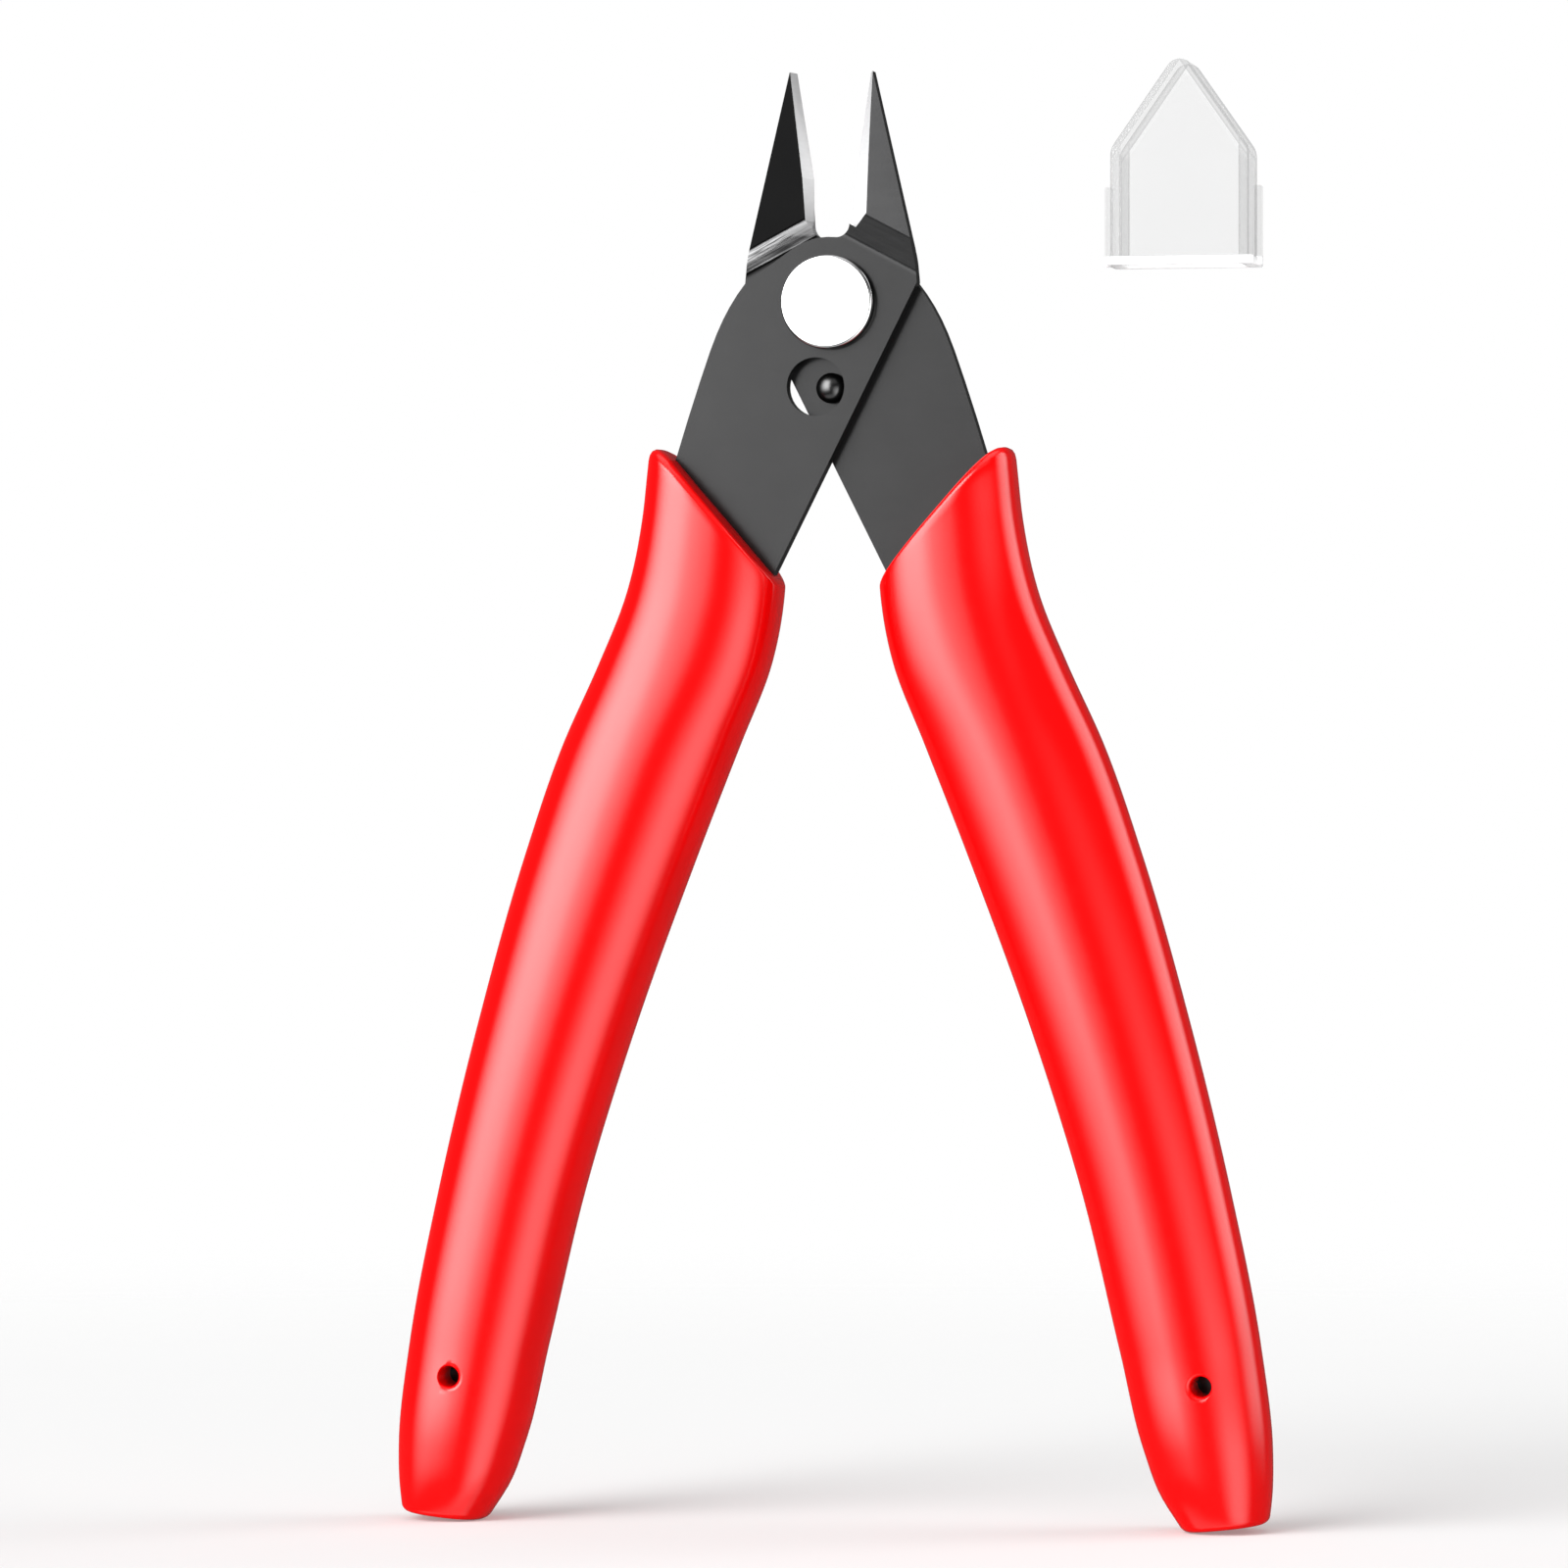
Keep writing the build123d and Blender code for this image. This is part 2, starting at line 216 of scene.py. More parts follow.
def steelPlate(name, side):
    # side is +1 for the half with the right jaw and -1 for the half with the left jaw
    look = steelLook
    material, tree = newMaterial(name)
    place = tree.place()
    x, _, z = tree.parts(place)
    nx, ny, nz = tree.lean()
    up = (z - look["pivotHeight"]) / mm
    across = x / mm * side
    slant = math.radians(look["neckSlant"])
    alongNeck = across * math.sin(slant) + up * math.cos(slant)
    acrossNeck = across * math.cos(slant) - up * math.sin(slant)
    onJaw = alongNeck.rise(*look["bandStart"])
    flat = ny.absolute().rise(*look["flatLean"])
    bevel = (nx * -side).rise(*look["grindLean"]) * up.rise(*look["grindStart"])
    wall = (1.0 - ny.absolute().rise(*look["wallLean"])) * (1.0 - bevel)

    cloud = tree.noise(place, look["cloudScale"], 4.0)
    grain = tree.noise(tree.stretched(place, look["grainScale"]), 1.0, 3.0, 0.6)
    speck = tree.noise(place, look["speckScale"], 2.0, 0.5)
    wide, close = look["rolledScale"]
    rolled = {0: acrossNeck * wide, 1: alongNeck * close}
    streak = tree.noise(tree.node("ShaderNodeCombineXYZ", None, rolled), 1.0, 3.0, 0.6)
    grinding = tree.noise(tree.stretched(place, look["grindScale"]), 1.0, 2.0, 0.5)

    mottle = cloud.about(1.0, look["cloudSpread"])
    # painted light and shade: each jaw's face tone differs by side
    jawTone = look["jaw"][side] * mottle
    metal = look["blackenedMetal"] + (1.0 - look["blackenedMetal"]) * onJaw * flat
    if side > 0:
        # painted shade: the faces of the right jaw that are not flat, the joggle among them, take a
        # darker streaked tone
        band = look["bandShadeTone"] * streak.about(1.0, look["bandSpread"])
        jawTone = jawTone.toward(band, 1.0 - flat)
    else:
        # painted reflection: bright streaks on the overhang below the left jaw
        overhang = (-nz).rise(*look["underLean"]) * (-ny).rise(*look["frontLean"])
        inBand = overhang * (1.0 - alongNeck.rise(*look["bandEnd"]))
        dull, bright = look["shineRange"]
        shine = look["bandPaintedShine"] * (dull + streak.rise(*look["shineFade"]) * (bright - dull))
        jawTone = jawTone.toward(shine, inBand)
        metal = metal.toward(1.0, inBand)
    tone = (look["blackened"] * mottle).toward(jawTone, onJaw)
    # painted shade: side walls of the plates darkened towards near black
    tone = tone.toward(look["paintedShadeWall"], wall)
    # bright ground steel on the bevels, with painted light making the right side lighter than the
    # left
    ground = look["ground"][side] * grinding.about(1.0, look["grindSpread"])
    tone = tone.toward(ground, bevel)
    metal = metal.toward(look["groundMetal"], bevel)
    rough = grain.about(look["blackenedRough"], look["grainRough"])
    rough = rough + (speck - 0.5) * look["speckRough"]
    rough = rough.toward(look["groundRough"], bevel)
    relief = tree.bump(grain * 0.6 + speck * 0.4, *look["relief"])
    tree.surface(tree.greyColour(tone, blue=1.01), rough, relief, {"Metallic": metal})
    return material


gripLook = {
    "red": (0.80, 0.0012, 0.0017, 1.0),
    "deepRed": (0.72, 0.0008, 0.0011, 1.0),
    "rough": 0.14,
    "swirlScale": 55.0,
    "swirlFade": (0.35, 0.70),
    "swirlRough": 0.05,
    "skinScale": 900.0,
    "skinRough": 0.04,
    "poreScale": 4200.0,
    "relief": (0.03, 0.00006),
}


def mouldedRed():
    look = gripLook
    material, tree = newMaterial("mouldedRed")
    place = tree.place()
    swirl = tree.noise(place, look["swirlScale"], 3.0)
    skin = tree.noise(place, look["skinScale"], 3.0, 0.5)
    pores = tree.noise(place, look["poreScale"], 2.0, 0.5)
    colour = tree.mixColour(swirl.rise(*look["swirlFade"]), look["red"], look["deepRed"])
    rough = swirl.about(look["rough"], look["swirlRough"]) + (skin - 0.5) * look["skinRough"]
    relief = tree.bump(skin * 0.7 + pores * 0.3, *look["relief"])
    tree.surface(colour, rough, relief, {"IOR": 1.48})
    return material


rivetLook = {
    "radius": 4.2,
    "corner": 0.27,
    "shank": 2.6,
    "tail": 1.9,
    "tailChamfer": 0.12,
    "boreChamfer": 0.05,
    "footStep": (0.05, 0.02, 0.10),  # inwards, off the plate, and where the step begins
    "faceRing": 0.3,  # a ring this far inside the rim keeps the face flat
    "hair": 0.03,  # and one this close on each side of the rounding
    "gap": 0.02,
    "around": 128,
    "face": 0.90,
    # painted shade: the side walls of the rivet and disc are darker than their polished faces
    "wall": 0.34,
    "faceLean": (0.80, 0.97),
    "smearScale": 260.0,
    "smearTone": 0.06,
    "smearRough": 0.05,
    "hairlineScale": (500.0, 500.0, 6000.0),
    "hairlineRough": 0.02,
    "rough": 0.10,
    "relief": (0.02, 0.00001),
}


def polishedSteel():
    look = rivetLook
    material, tree = newMaterial("polishedSteel")
    place = tree.place()
    _, ny, _ = tree.lean()
    face = ny.absolute().rise(*look["faceLean"])
    smear = tree.noise(place, look["smearScale"], 4.0)
    hairline = tree.noise(tree.stretched(place, look["hairlineScale"]), 1.0, 2.0)
    # painted shade: walls darker than the faces
    tone = look["wall"] + (look["face"] - look["wall"]) * face + smear * look["smearTone"]
    rough = look["rough"] + smear * look["smearRough"] + hairline * look["hairlineRough"]
    relief = tree.bump(hairline, *look["relief"])
    tree.surface(tree.greyColour(tone, blue=1.005), rough, relief, {"Metallic": 1.0})
    return material


pinLook = {"scale": 500.0, "tone": (0.045, 0.04), "rough": (0.22, 0.08), "relief": (0.05, 0.00002)}
wireLook = {"scale": 900.0, "tone": (0.42, 0.20), "rough": (0.26, 0.10), "relief": (0.05, 0.00001)}


def drawnSteel(name, look):
    # tone and roughness each start at their first number and gain up to the second
    material, tree = newMaterial(name)
    smear = tree.noise(tree.place(), look["scale"], 3.0)
    tone = look["tone"][0] + smear * look["tone"][1]
    rough = look["rough"][0] + smear * look["rough"][1]
    relief = tree.bump(smear, *look["relief"])
    tree.surface(tree.greyColour(tone), rough, relief, {"Metallic": 1.0})
    return material


guardLook = {
    # pairs of tone and cover
    # panel is the plain plastic; wall is painted shade, darker and fuller; lip is a painted
    # highlight, pale and fuller
    "panel": (0.24, 0.058),
    "wall": (0.20, 0.34),
    "lip": (0.92, 0.60),
    "wallWidth": 1.0,
    "roofWidth": 0.70,
    "lineWidth": 0.14,
    # painted shade: dark lines along the edges of each wall
    "shadeLineCover": 0.14,
    "finCover": 0.17,
    "past": (0.02, 0.08),  # mm beyond the wall where a fin begins
    "lipFade": (-0.03, 0.10),
    "edgeLean": (0.25, 0.70),
    "edgeThin": 0.70,  # share of the cover that faces seen edge on lose
    "hazeScale": 160.0,
    "hazeCover": 0.12,
    "hazeRough": 0.06,
    "rough": 0.08,
    "rippleScale": 420.0,
    "relief": (0.02, 0.00005),
}


def clearPlastic():
    # painted shade: walls seen along their depth are darker and fuller than the panels between
    # them, with dark painted lines along their edges, and the lip carries a painted highlight
    look = guardLook
    shape = guardShape
    material, tree = newMaterial("clearPlastic")
    low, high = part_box("tip_guard")
    place = tree.place()
    x, _, z = tree.parts(place)
    _, ny, _ = tree.lean()
    aside = ((x - (low.x + high.x) / 2) / mm).absolute()
    up = (z - low.z) / mm
    slant = math.radians(shape["roofAngle"])
    underRoof = aside * math.cos(slant) + (up - shape["shoulderUp"]) * math.sin(slant)
    roofFace = shape["halfWidth"] * math.cos(slant)
    near, far = look["past"]

    def inward(distance, face, width):
        # 1 inside the wall, and 1 on the two lines that edge it
        line = look["lineWidth"]
        wall = distance.rise(face - width, face - width + line)
        edge = wall * (1.0 - distance.rise(face - width + line, face - width + 2 * line))
        outer = distance.rise(face - 2 * line, face - line)
        outer = outer * (1.0 - distance.rise(face + near, face + far))
        return wall, edge + outer

    wall, edges = inward(aside, shape["halfWidth"], look["wallWidth"])
    roof, ridges = inward(underRoof, roofFace, look["roofWidth"])
    wall = wall.maths("MAXIMUM", wall, roof)
    edges = edges.maths("MAXIMUM", edges, ridges)
    lip = 1.0 - up.rise(*(shape["lipHeight"] + step for step in look["lipFade"]))
    fin = aside.rise(shape["halfWidth"] + near, shape["halfWidth"] + far)
    edgeOn = 1.0 - ny.absolute().rise(*look["edgeLean"])
    haze = tree.noise(place, look["hazeScale"], 3.0)
    ripple = tree.noise(place, look["rippleScale"], 2.0)
    tone, cover = [panel + (full - panel) * wall
                   for panel, full in zip(look["panel"], look["wall"])]
    tone = tone.toward(look["lip"][0], lip)
    cover = cover.toward(look["finCover"], fin)
    cover = (cover + edges * look["shadeLineCover"]) * (1.0 - edgeOn * look["edgeThin"])
    cover = cover.toward(look["lip"][1], lip) * haze.about(1.0, look["hazeCover"])
    rough = look["rough"] + haze * look["hazeRough"]
    relief = tree.bump(ripple, *look["relief"])
    more = {"IOR": 1.46, "Specular IOR Level": 0.22, "Alpha": cover}
    tree.surface(tree.greyColour(tone, 1.005, 1.01), rough, relief, more)
    return material


frontSteel = steelPlate("blackenedSteelFront", 1)
rearSteel = steelPlate("blackenedSteelRear", -1)
redGrip = mouldedRed()
brightSteel = polishedSteel()
pinSteel = drawnSteel("darkPinSteel", pinLook)
wireSteel = drawnSteel("springWire", wireLook)
print("materials made")


def meshPiece(name, points, faces, material, sharpAngle=35.0):
    mesh = bpy.data.meshes.new(name)
    mesh.from_pydata([Vector(p) * mm for p in points], [], faces)
    mesh.validate()
    shape = bmesh.new()
    shape.from_mesh(mesh)
    bmesh.ops.recalc_face_normals(shape, faces=shape.faces)
    shape.to_mesh(mesh)
    shape.free()
    mesh.materials.append(material)
    piece = bpy.data.objects.new(name, mesh)
    scene.collection.objects.link(piece)
    smoothOver(piece, sharpAngle)
    return piece


def smoothOver(piece, sharpAngle):
    for polygon in piece.data.polygons:
        polygon.use_smooth = True
    piece.data.set_sharp_from_angle(angle=math.radians(sharpAngle))


def quadStrip(lower, upper, count):
    # quads between two rings of equal length
    return [(lower * count + k, lower * count + (k + 1) % count,
             upper * count + (k + 1) % count, upper * count + k) for k in range(count)]


def joinRings(rings, count):
    # a skin over rings in a row, with flat caps on both ends
    faces = []
    for row in range(rings - 1):
        faces += quadStrip(row, row + 1, count)
    faces.append(tuple(reversed(range(count))))
    faces.append(tuple(range((rings - 1) * count, rings * count)))
    return faces


def applyModifiers(piece):
    bpy.context.view_layer.update()
    graph = bpy.context.evaluated_depsgraph_get()
    finished = bpy.data.meshes.new_from_object(piece.evaluated_get(graph))
    old = piece.data
    piece.modifiers.clear()
    piece.data = finished
    bpy.data.meshes.remove(old)


def combine(piece, other, operation):
    # joins the other piece on, or cuts it away
    tool = piece.modifiers.new("combine", "BOOLEAN")
    tool.operation = operation
    tool.solver = "EXACT"
    tool.object = other
    applyModifiers(piece)
    bpy.data.objects.remove(other)


def turnedPoints(profile, centre, count):
    # rings of points for a profile of (radius, depth) pairs, about an axis from front to back
    points = []
    for radius, depth in profile:
        for k in range(count):
            turn = 2 * math.pi * k / count
            points.append((centre[0] + radius * math.cos(turn), depth,
                           centre[1] + radius * math.sin(turn)))
    return points


def turned(name, profile, centre, material, count):
    points = turnedPoints(profile, centre, count)
    return meshPiece(name, points, joinRings(len(profile), count), material)


def roundEdge(radius, depth, corner, outward, steps=6):
    # quarter round from a flat face to a wall; outward is -1 towards the front
    profile = []
    for k in range(steps + 1):
        turn = math.pi / 2 * k / steps
        profile.append((radius - corner + corner * math.sin(turn),
                        depth - outward * corner * (1 - math.cos(turn))))
    return profile


def dress(node, material):
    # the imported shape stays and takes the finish
    piece = frame["nodes"][node]
    piece.data.materials.clear()
    piece.data.materials.append(material)


dress("front_half", frontSteel)
dress("rear_half", rearSteel)
dress("return_spring", wireSteel)
print("plates dressed")

pivotZ = steelLook["pivotHeight"] / mm
pinhole = 0.02  # radius of the ring in the middle of a turned end, which a flat cap closes


def buildRivet():
    look = rivetLook
    low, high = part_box("pivot_rivet")
    front, back = low.y / mm, high.y / mm
    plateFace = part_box("front_half")[0].y / mm
    radius, corner, hair = look["radius"], look["corner"], look["hair"]
    tail, chamfer, shank = look["tail"], look["tailChamfer"], look["shank"]
    step, off, start = look["footStep"]
    flat, foot = radius - corner, plateFace - off
    profile = [(pinhole, front), (flat - look["faceRing"], front), (flat - hair, front)]
    profile += roundEdge(radius, front, corner, -1)
    profile += [(radius, front + corner + hair), (radius, plateFace - start)]
    profile += [(radius - step, foot), (shank, foot), (shank, -plateFace)]
    profile += [(tail, -plateFace), (tail, back - chamfer), (tail - chamfer, back)]
    profile += [(pinhole, back)]
    rivet = turned("pivotRivet", profile, (0, pivotZ), brightSteel, look["around"])
    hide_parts("pivot_rivet")
    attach(rivet, "rear")


def buildRearDisc():
    # a ring about the rivet's tail, closed on itself
    look = rivetLook
    low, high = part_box("rear_disc")
    front, back = low.y / mm + look["gap"], high.y / mm
    radius, corner, bore = look["radius"], look["corner"], look["tail"]
    chamfer, count = look["boreChamfer"], look["around"]
    profile = [(bore, back - chamfer), (bore + chamfer, back)]
    profile += [(radius - corner - look["hair"], back)]
    profile += roundEdge(radius, back, corner, 1)
    profile += [(radius, front), (bore, front)]
    rows = len(profile)
    faces = []
    for row in range(rows):
        faces += quadStrip(row, (row + 1) % rows, count)
    points = turnedPoints(profile, (0, pivotZ), count)
    disc = meshPiece("rearDisc", points, faces, brightSteel)
    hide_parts("rear_disc")
    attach(disc, "rear")


pinShape = {"domeRise": 0.75, "domeRings": 14, "shank": 0.9, "seat": 0.03, "around": 72}


def buildStopPin():
    shape = pinShape
    low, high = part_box("stop_pin")
    centre = ((low.x + high.x) / 2 / mm, (low.z + high.z) / 2 / mm)
    radius = (high.x - low.x) / 2 / mm
    top, back = low.y / mm, high.y / mm
    sphere = (radius ** 2 + shape["domeRise"] ** 2) / (2 * shape["domeRise"])
    profile = []
    for k in range(shape["domeRings"] + 1):
        r = max(pinhole, radius * math.sin(math.pi / 2 * k / shape["domeRings"]))
        profile.append((r, top + sphere - math.sqrt(sphere ** 2 - r ** 2)))
    profile += [(radius, shape["seat"]), (shape["shank"], shape["seat"])]
    profile += [(shape["shank"], back), (pinhole, back)]
    pin = turned("stopPin", profile, centre, pinSteel, shape["around"])
    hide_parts("stop_pin")
    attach(pin, "rear")


buildRivet()
buildRearDisc()
buildStopPin()
print("rivet and stop pin made")


gripShape = {
    # height, inner edge, outer edge, half thickness
    "stations": [
        (-2.0, 33.0, 38.6, 3.3), (0.6, 31.3, 39.15, 4.05), (3.0, 29.75, 39.45, 4.70),
        (7.0, 28.2, 39.52, 5.24), (16.0, 25.98, 38.52, 5.4), (30.0, 22.58, 35.78, 5.5),
        (45.0, 17.82, 32.13, 5.6), (60.0, 12.25, 27.82, 5.6), (70.0, 8.31, 24.29, 5.55),
        (77.0, 5.6, 21.05, 5.45), (83.0, 4.46, 18.55, 5.35), (90.0, 4.4, 16.95, 5.2),
        (94.0, 4.5, 16.5, 5.05), (98.6, 5.0, 16.05, 4.6),
    ],
    "depth": 0.85,  # how far each grip's middle lies from the tool's middle plane
    "squareness": 2.4,  # of the section: 2 is an ellipse, more is boxier
    "mouthSquareness": 2.9,
    "mouthOuter": (15.0, 96.55),
    "mouthInner": (4.46, 84.3),
    "rimInner": 0.42,  # rounding of the mouth's rim at its low inner end
    "rimOuter": 2.6,  # and at its tip
    "rimRise": 1.0,
    "rimRings": 8,
    "pocket": {"middle": 9.49, "halfWide": 4.48, "halfThick": 0.98, "deep": 2.2,
               "squareness": 9.0},
    "footSlant": 6.5,
    "footRound": 0.5,
    "footHeight": 0.40,
    "footRings": 7,
    "bodyRings": 110,
    "around": 112,
    # heights between which the rings turn from one slant, or squareness, to the next
    "footTurn": (0.0, 14.0),
    "mouthTurn": (62.0, 90.0),
    "squareTurn": (66.0, 88.0),
    "hole": (33.9, 13.2),
    "holeRadius": 0.92,
    "holeFlare": 0.42,
    "holeSteps": 7,
    "holeAround": 48,
    "tangGap": (0.03, 0.05),  # past the middle plane, and on into the tang
}


def smoothTable(rows, column, at):
    # cubic through the rows' values, each row's slope shared between its two neighbours
    last = len(rows) - 1
    index = 0
    while index < last - 1 and at > rows[index + 1][0]:
        index += 1

    def rate(i):
        return (rows[i + 1][column] - rows[i][column]) / (rows[i + 1][0] - rows[i][0])

    def slope(i):
        if i in (0, last):
            return rate(min(i, last - 1))
        before, after = rows[i][0] - rows[i - 1][0], rows[i + 1][0] - rows[i][0]
        return (rate(i - 1) * after + rate(i) * before) / (before + after)

    span = rows[index + 1][0] - rows[index][0]
    t = (at - rows[index][0]) / span
    return ((2 * t ** 3 - 3 * t ** 2 + 1) * rows[index][column]
            + (t ** 3 - 2 * t ** 2 + t) * slope(index) * span
            + (-2 * t ** 3 + 3 * t ** 2) * rows[index + 1][column]
            + (t ** 3 - t ** 2) * slope(index + 1) * span)


def ease(value, low, high):
    t = min(max((value - low) / (high - low), 0.0), 1.0)
    return t * t * (3 - 2 * t)


def superPoint(turn, squareness):
    c, s = math.cos(turn), math.sin(turn)
    return (math.copysign(abs(c) ** (2 / squareness), c),
            math.copysign(abs(s) ** (2 / squareness), s))


def mouthSlope():
    (outerX, outerZ), (innerX, innerZ) = gripShape["mouthOuter"], gripShape["mouthInner"]
    return (outerZ - innerZ) / (outerX - innerX)


def edgesAt(height):
    rows = gripShape["stations"]
    return smoothTable(rows, 1, height), smoothTable(rows, 2, height)


def ringMiddle(height):
    return sum(edgesAt(height)) / 2


def gripPoint(turn, height, inset):
    # a point on the grip's skin for a slanted ring whose middle is at this height
    shape = gripShape
    rows = shape["stations"]
    footSlope = math.tan(math.radians(shape["footSlant"]))
    slope = (mouthSlope() * ease(height, *shape["mouthTurn"])
             + footSlope * (1 - ease(height, *shape["footTurn"])))
    squareness = shape["squareness"]
    squareness += (shape["mouthSquareness"] - squareness) * ease(height, *shape["squareTurn"])
    fx, fy = superPoint(turn, squareness)
    middle = ringMiddle(height)
    z = height
    for _ in range(12):  # settles where the slanted ring meets the outline
        inner, outer = edgesAt(min(max(z, rows[0][0]), rows[-1][0]))
        x = (inner + outer) / 2 + fx * ((outer - inner) / 2 - inset)
        z = z * 0.4 + (height + slope * (x - middle)) * 0.6
    half = smoothTable(rows, 3, min(max(z, rows[0][0]), rows[-1][0]))
    return x, fy * (half - inset), z


def gripRings(top):
    # (height, inset) for each point round each ring: foot, body, rim of the mouth
    shape = gripShape
    count, foot, start = shape["around"], shape["footRound"], shape["footHeight"]
    footRings, rimRings, rimRise = shape["footRings"], shape["rimRings"], shape["rimRise"]
    turns = [2 * math.pi * k / count for k in range(count)]
    rims = [shape["rimInner"] + (shape["rimOuter"] - shape["rimInner"])
            * ((1 + math.cos(turn)) / 2) ** 3 for turn in turns]
    rings = []
    for k in range(footRings):
        bend = math.pi / 2 * k / (footRings - 1)
        rings.append([(start + foot * (1 - math.cos(bend)), foot * (1 - math.sin(bend)))] * count)
    low = start + foot
    for k in range(1, shape["bodyRings"]):
        part = k / shape["bodyRings"]
        rings.append([(low + (top - rim * rimRise - low) * part, 0.0) for rim in rims])
    for k in range(rimRings):
        bend = math.pi / 2 * k / (rimRings - 1)
        rings.append([(top - rim * rimRise * (1 - math.sin(bend)),
                       rim * (1 - math.cos(bend))) for rim in rims])
    return turns, rings


def buildGrip(name, node, body, side):
    shape = gripShape
    depth = math.copysign(shape["depth"], side)
    innerX, innerZ = shape["mouthInner"]
    top = innerZ
    for _ in range(20):  # height of the mouth above the middle of its own ring
        top = innerZ + mouthSlope() * (ringMiddle(top) - innerX)
    turns, rings = gripRings(top)
    points = []
    for ring in rings:
        for turn, (height, inset) in zip(turns, ring):
            x, y, z = gripPoint(turn, height, inset)
            points.append((side * x, depth + y, z))
    pocket = shape["pocket"]
    for drop in (0.0, pocket["deep"]):  # the shallow pocket that the plate goes down into
        for turn in turns:
            fx, fy = superPoint(turn, pocket["squareness"])
            x = pocket["middle"] + fx * pocket["halfWide"]
            z = innerZ + mouthSlope() * (x - innerX) - drop
            points.append((side * x, depth + fy * pocket["halfThick"], z))
    faces = joinRings(len(rings) + 2, shape["around"])
    grip = meshPiece(name, points, faces, redGrip, 40.0)
    for front in (-1, 1):
        combine(grip, holeCutter(side, depth, front), "DIFFERENCE")
    smoothOver(grip, 40.0)
    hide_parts(node)
    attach(grip, body)


def holeCutter(side, depth, front):
    # drill with a flared neck that leaves a soft lip round the small hole, down to the tang
    shape = gripShape
    x, z = shape["hole"]
    inner, outer = edgesAt(z)
    power = shape["squareness"]
    off = abs(x - (inner + outer) / 2) / ((outer - inner) / 2)
    half = smoothTable(shape["stations"], 3, z) * (1 - off ** power) ** (1 / power)
    surface = depth + front * half
    past, spare = shape["tangGap"]
    if (side < 0) == (front > 0):
        tang = -front * past
    else:
        low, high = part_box("front_half" if side < 0 else "rear_half")
        tang = (low if front < 0 else high).y / mm
    bottom = tang - front * spare
    radius, flare, steps = shape["holeRadius"], shape["holeFlare"], shape["holeSteps"]
    profile = [(pinhole, bottom), (radius, bottom)]
    for k in range(steps):
        turn = math.pi / 2 * k / (steps - 1)
        profile.append((radius + flare * (1 - math.cos(turn)),
                        surface - front * flare * (1 - math.sin(turn))))
    above = surface + front * 0.5
    profile += [(radius + flare * 1.2, above), (pinhole, above)]
    return turned("holeCutter", profile, (side * x, z), redGrip, shape["holeAround"])


buildGrip("leftGrip", "left_grip", "front", -1)
buildGrip("rightGrip", "right_grip", "rear", 1)
print("grips made")


guardShape = {
    "halfWidth": 6.2,
    "shoulderUp": 10.3,
    "roofAngle": 35.0,
    "apexRound": 1.3,
    "innerApexRound": 0.4,
    "shoulderRound": 2.0,
    "wall": 0.9,
    "panel": 0.5,
    "halfDepth": 2.7,
    "lipHeight": 0.75,
    "lipReach": 0.48,
    "finHeight": 7.1,
    "finReach": 0.85,
    "finHalfThick": 0.5,
    "softEdge": 0.22,
    "softSteps": 3,
}
guardPlastic = clearPlastic()


def houseOutline(halfWidth, shoulder, bottom, apexRound, shoulderRound, steps=10):
    # pointed roof over straight walls, its three upper corners rounded by arcs
    slant = math.radians(guardShape["roofAngle"])
    apex = shoulder + halfWidth / math.tan(slant) - apexRound / math.sin(slant)
    side = halfWidth - shoulderRound
    corner = shoulder - shoulderRound * math.tan(slant / 2)
    arcs = [
        (side, corner, shoulderRound, 0.0, slant),
        (0.0, apex, apexRound, slant, math.pi - slant),
        (-side, corner, shoulderRound, math.pi - slant, math.pi),
    ]
    outline = [(-halfWidth, bottom), (halfWidth, bottom)]
    for x, z, radius, start, end in arcs:
        for k in range(steps + 1):
            turn = start + (end - start) * k / steps
            outline.append((x + radius * math.cos(turn), z + radius * math.sin(turn)))
    return outline


def prism(name, outline, halfDepth, x, z):
    count = len(outline)
    points = [(x + px, -halfDepth, z + pz) for px, pz in outline]
    points += [(x + px, halfDepth, z + pz) for px, pz in outline]
    faces = [tuple(range(count)), tuple(reversed(range(count, 2 * count)))]
    return meshPiece(name, points, faces + quadStrip(0, 1, count), guardPlastic)


def buildGuard():
    shape = guardShape
    low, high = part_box("tip_guard")
    x = (low.x + high.x) / 2 / mm
    z = low.z / mm
    halfWidth, halfDepth, wall = shape["halfWidth"], shape["halfDepth"], shape["wall"]
    house = houseOutline(halfWidth, shape["shoulderUp"], 0.0,
                         shape["apexRound"], shape["shoulderRound"])
    outer = prism("tipGuard", house, halfDepth, x, z)

    def block(halfWide, halfThick, height):
        outline = [(-halfWide, 0.0), (halfWide, 0.0), (halfWide, height), (-halfWide, height)]
        return prism("guardBlock", outline, halfThick, x, z)

    reach = shape["lipReach"]
    lip = block(halfWidth + reach, halfDepth + reach, shape["lipHeight"])
    fin = block(halfWidth + shape["finReach"], shape["finHalfThick"], shape["finHeight"])
    combine(outer, lip, "UNION")
    combine(outer, fin, "UNION")
    slantWall = wall * math.tan(math.radians((90 - shape["roofAngle"]) / 2))
    hollow = houseOutline(halfWidth - wall, shape["shoulderUp"] - slantWall, -3.0,
                          shape["innerApexRound"], shape["shoulderRound"] - wall)
    combine(outer, prism("guardHollow", hollow, halfDepth - shape["panel"], x, z), "DIFFERENCE")
    soften = outer.modifiers.new("soften", "BEVEL")
    soften.width = shape["softEdge"] * mm
    soften.segments = shape["softSteps"]
    soften.limit_method = "ANGLE"
    soften.angle_limit = math.radians(40)
    applyModifiers(outer)
    smoothOver(outer, 30.0)
    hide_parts("tip_guard")
    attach(outer, "guard")


buildGuard()
print("tip guard made")


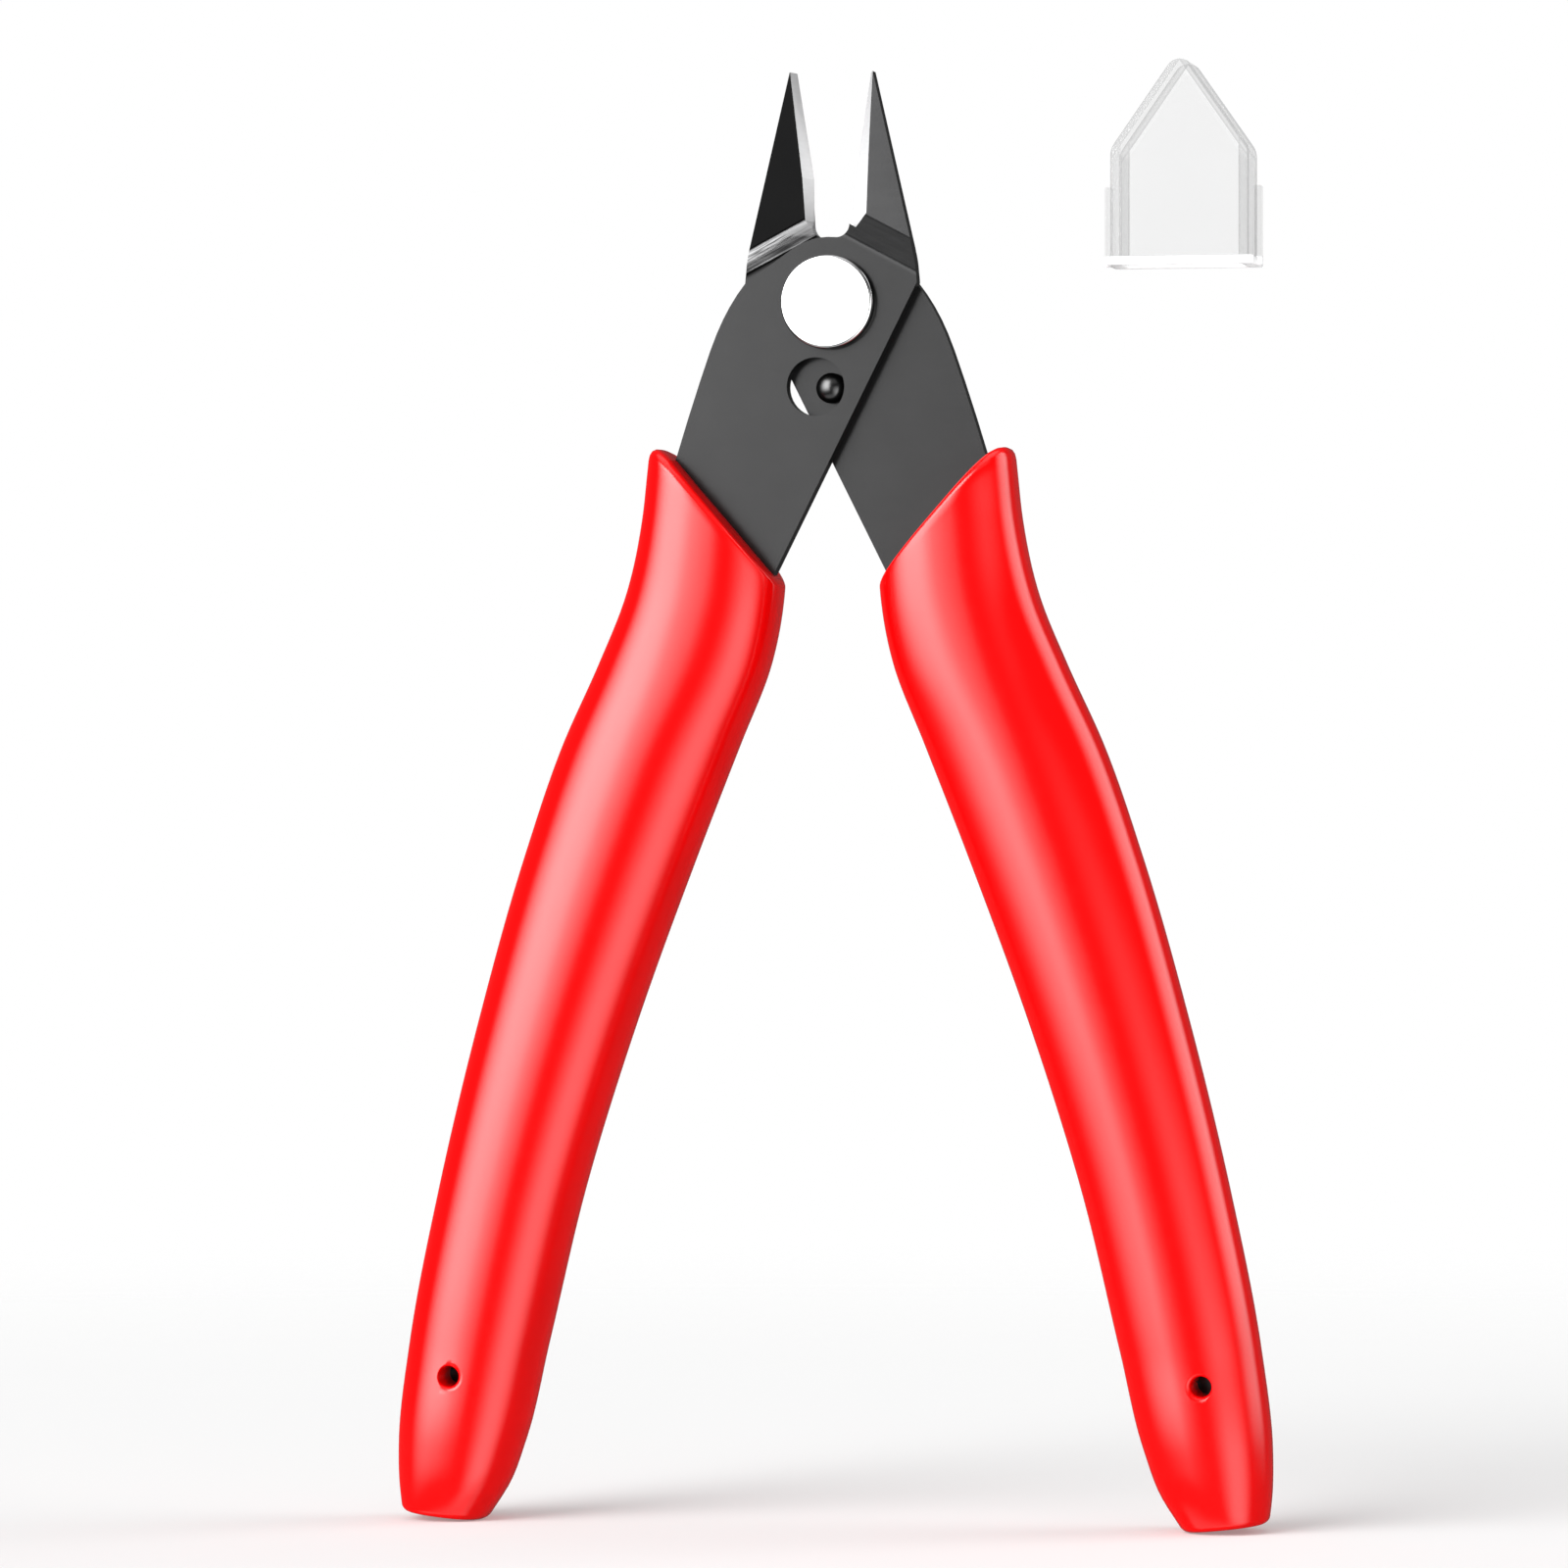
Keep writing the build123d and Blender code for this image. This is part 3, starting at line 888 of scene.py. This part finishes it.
studio = {
    "floorRadius": 600.0,
    "floorSides": 64,
    "floorTone": 0.56,
    "floorGlow": 0.21,
    "floorClear": (0.16, 0.42),
    "seen": 1.0,
    "base": 0.07,
    "overhead": {"radiance": 1.3, "from": 48.0, "to": 76.0},
    # azimuth counts from the front towards the right, all angles in degrees; left and right
    # are where a window fades in and out going round, low and high where it does going up;
    # the last one stands for the pale card below, which the gloss doesn't see
    "windows": [
        {"left": (-82.0, -35.0), "right": (-24.0, -4.0),
         "low": (-26.0, 14.0), "high": (36.0, 56.0), "radiance": 10.6},
        {"left": (2.0, 36.0), "right": (44.0, 84.0),
         "low": (-50.0, -30.0), "high": (-10.0, 18.0), "radiance": 3.4},
        {"left": (72.0, 104.0), "right": (120.0, 140.0),
         "low": (-8.0, 12.0), "high": (40.0, 56.0), "radiance": 3.4},
        {"left": (-40.0, -10.0), "right": (30.0, 60.0),
         "low": (24.0, 34.0), "high": (60.0, 80.0), "radiance": 0.5},
        {"left": (-90.0, -60.0), "right": (60.0, 90.0),
         "low": (-70.0, -58.0), "high": (-46.0, -36.0), "radiance": 1.0},
    ],
}


def buildFloor():
    # a round card that fades away towards its rim
    radius, count = studio["floorRadius"], studio["floorSides"]
    turns = [2 * math.pi * k / count for k in range(count)]
    points = [(radius * math.cos(turn), radius * math.sin(turn), 0.0) for turn in turns]
    mesh = bpy.data.meshes.new("paleFloor")
    mesh.from_pydata([Vector(p) * mm for p in points], [], [tuple(range(count))])
    floor = bpy.data.objects.new("paleFloor", mesh)
    scene.collection.objects.link(floor)
    material, tree = newMaterial("paleFloor")
    place = tree.place()
    away = tree.node("ShaderNodeVectorMath", {"operation": "LENGTH"}, {0: place}, 1)
    fade = away.rise(*studio["floorClear"])
    card = tree.node("ShaderNodeBsdfDiffuse", None, {"Color": grey(studio["floorTone"])})
    glow = {"Color": grey(1.0), "Strength": studio["floorGlow"]}
    glow = tree.node("ShaderNodeEmission", None, glow)
    card = tree.node("ShaderNodeAddShader", None, {0: card, 1: glow})
    clear = tree.node("ShaderNodeBsdfTransparent", None, {"Color": grey(1.0)})
    tree.finish(tree.node("ShaderNodeMixShader", None, {0: fade, 1: card, 2: clear}))
    mesh.materials.append(material)
    floor.visible_glossy = False


def buildWorld():
    # soft windows of light on a dark surround, white where the camera looks straight at it
    world = bpy.data.worlds.new("studio")
    scene.world = world
    tree = Tree(world)
    dx, dy, dz = tree.parts(tree.node("ShaderNodeTexCoord", out=0))
    azimuth = dx.maths("ARCTAN2", dx, -dy) * math.degrees(1.0)
    elevation = dz.maths("ARCSINE", dz) * math.degrees(1.0)
    overhead = studio["overhead"]
    level = studio["base"] + elevation.rise(overhead["from"], overhead["to"]) * overhead["radiance"]
    for window in studio["windows"]:
        inside = azimuth.rise(*window["left"]) * (1.0 - azimuth.rise(*window["right"]))
        inside = inside * elevation.rise(*window["low"]) * (1.0 - elevation.rise(*window["high"]))
        level = level + inside * window["radiance"]
    path = tree.node("ShaderNodeLightPath")
    through = Wire(tree, path.socket.node.outputs["Is Transmission Ray"])
    seen = path.maths("MAXIMUM", path, through)
    level = level + (studio["seen"] - level) * seen
    back = tree.node("ShaderNodeBackground", None, {"Color": grey(1.0), "Strength": level})
    tree.node("ShaderNodeOutputWorld", None, {"Surface": back})


# yaw in degrees, lens and sensor in mm, the rest in metres
view = {"yaw": 11.5, "reach": 0.672, "aside": 0.00433, "height": 0.0663,
        "lens": 172.4, "sensor": 36.0, "clip": (0.01, 20.0)}


def buildCamera():
    yaw = math.radians(view["yaw"])
    data = bpy.data.cameras.new("camera")
    data.sensor_width = view["sensor"]
    data.lens = view["lens"]
    data.clip_start, data.clip_end = view["clip"]
    camera = bpy.data.objects.new("camera", data)
    right = Vector((math.cos(yaw), math.sin(yaw), 0))
    back = Vector((math.sin(yaw), -math.cos(yaw), 0))
    camera.location = back * view["reach"] - right * view["aside"]
    camera.location.z = view["height"]
    camera.rotation_euler = (math.pi / 2, 0, yaw)
    scene.collection.objects.link(camera)
    scene.camera = camera


buildFloor()
buildWorld()
buildCamera()
scene.view_settings.view_transform = "Standard"
print("studio made")
